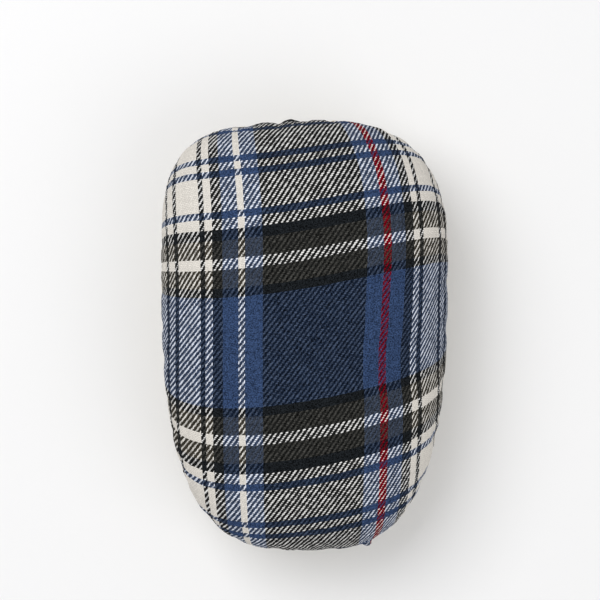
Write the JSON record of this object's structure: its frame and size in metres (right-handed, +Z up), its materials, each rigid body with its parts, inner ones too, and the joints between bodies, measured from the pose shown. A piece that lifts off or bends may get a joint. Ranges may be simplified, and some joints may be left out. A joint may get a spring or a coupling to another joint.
{
  "type": "tailors ham",
  "caption": "Egg-shaped, hard-stuffed pressing cushion with a plaid wool side and a plain cotton side, used to iron curved seams and darts.",
  "frame": {"origin": "on the resting surface, under the middle of the ham's outline", "axes": "+Z up, out of the plaid side; +Y along the ham towards its blunt end; +X across it"},
  "size_m": [0.131, 0.197, 0.092],
  "materials": {
    "plaid_wool": "2/2 twill wool plaid in white, blue, black, dark olive and red, slightly fulled",
    "natural_cotton": "plain unbleached cotton drill",
    "lining_calico": "plain weave calico",
    "packed_sawdust": "hard-packed softwood sawdust",
    "dark_thread": "spun polyester sewing thread",
    "pale_thread": "spun polyester sewing thread"
  },
  "bodies": {
    "root": {"plaid_cover": "plaid_wool", "cotton_cover": "natural_cotton", "plaid_side_lining": "lining_calico", "cotton_side_lining": "lining_calico", "sawdust_filling": "packed_sawdust", "needle_thread": "dark_thread", "bobbin_thread": "pale_thread", "closing_thread": "dark_thread"}
  },
  "joints": []
}
